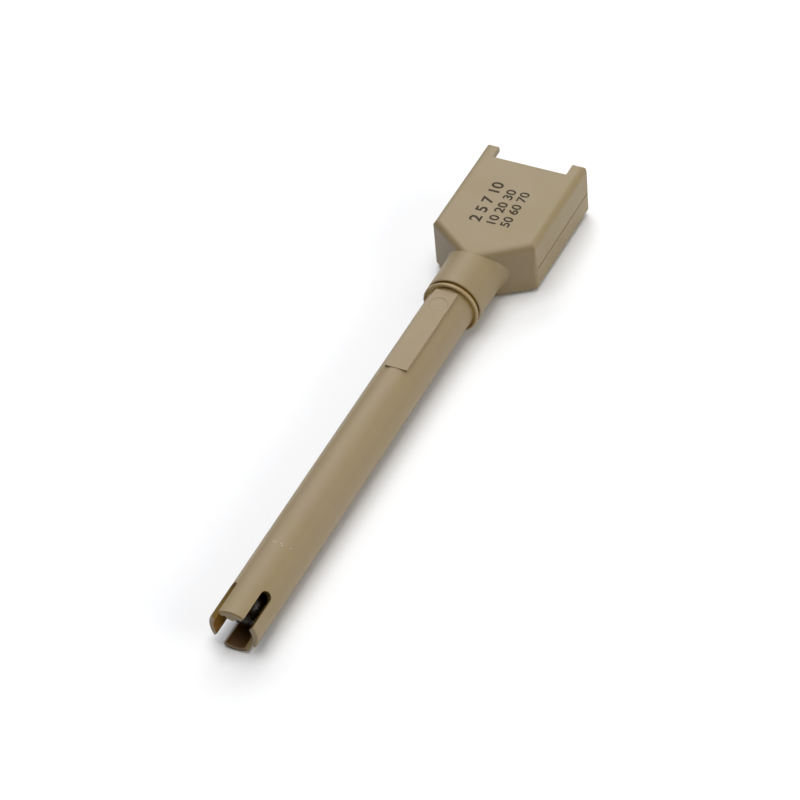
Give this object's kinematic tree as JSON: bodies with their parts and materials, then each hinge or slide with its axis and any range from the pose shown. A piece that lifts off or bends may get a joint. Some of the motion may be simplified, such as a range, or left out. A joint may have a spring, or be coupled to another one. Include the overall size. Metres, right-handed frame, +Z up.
{
  "type": "ph electrode",
  "caption": "Slim combination pH electrode: slotted guard round a glass bulb, gel-filled plastic stem, collar ring and a flat plug-in head with an amplifier board inside.",
  "frame": {"origin": "centre of the bounding box, on the surface that the head rests on", "axes": "+X along the electrode from the sensing tip to the plug-in end, +Z up out of the marked face"},
  "size_m": [0.1648, 0.0274, 0.0144],
  "materials": {
    "stem_plastic": "fine satin, khaki-beige moulded plastic",
    "head_plastic": "fine satin, khaki-beige moulded plastic",
    "bulb_glass": "clear blown glass, faintly amber",
    "buffer_liquid": "clear solution",
    "reference_gel": "cloudy clear gel",
    "seal_resin": "dark casting resin",
    "junction_ceramic": "porous, unglazed",
    "silver_wire": "dull silver",
    "stopper_rubber": "matt black",
    "red_sleeve": "shrunk sleeve",
    "black_sleeve": "shrunk sleeve",
    "white_insulation": "smooth",
    "black_insulation": "smooth",
    "board_laminate": "green solder mask over laminate",
    "chip_black": "moulded chip package",
    "solder_metal": "tinned",
    "resistor_ceramic": "dark glaze with tinned ends",
    "capacitor_ceramic": "tan with tinned ends",
    "connector_plastic": "moulded, matt black",
    "pin_gold": "gold plated"
  },
  "bodies": {
    "root": {"stem_tube": "stem_plastic", "collar_ring": "stem_plastic", "head_housing": "head_plastic", "head_cover": "head_plastic", "sensing_glass": "bulb_glass", "inner_buffer": "buffer_liquid", "bulb_seal": "seal_resin", "reference_junction": "junction_ceramic", "electrolyte_gel": "reference_gel", "measuring_wire": "silver_wire", "reference_wire": "silver_wire", "glass_stopper": "stopper_rubber", "chamber_plug": "stopper_rubber", "wire_potting": "seal_resin", "signal_sleeve": "red_sleeve", "reference_sleeve": "black_sleeve", "signal_lead": "white_insulation", "reference_lead": "black_insulation", "circuit_board": "board_laminate", "amplifier_chip": "chip_black", "chip_leads": "solder_metal", "chip_resistors": "resistor_ceramic", "chip_capacitors": "capacitor_ceramic", "connector_block": "connector_plastic", "contact_pin_1": "pin_gold", "contact_pin_2": "pin_gold", "contact_pin_3": "pin_gold", "contact_pin_4": "pin_gold", "contact_pin_5": "pin_gold"}
  },
  "joints": []
}
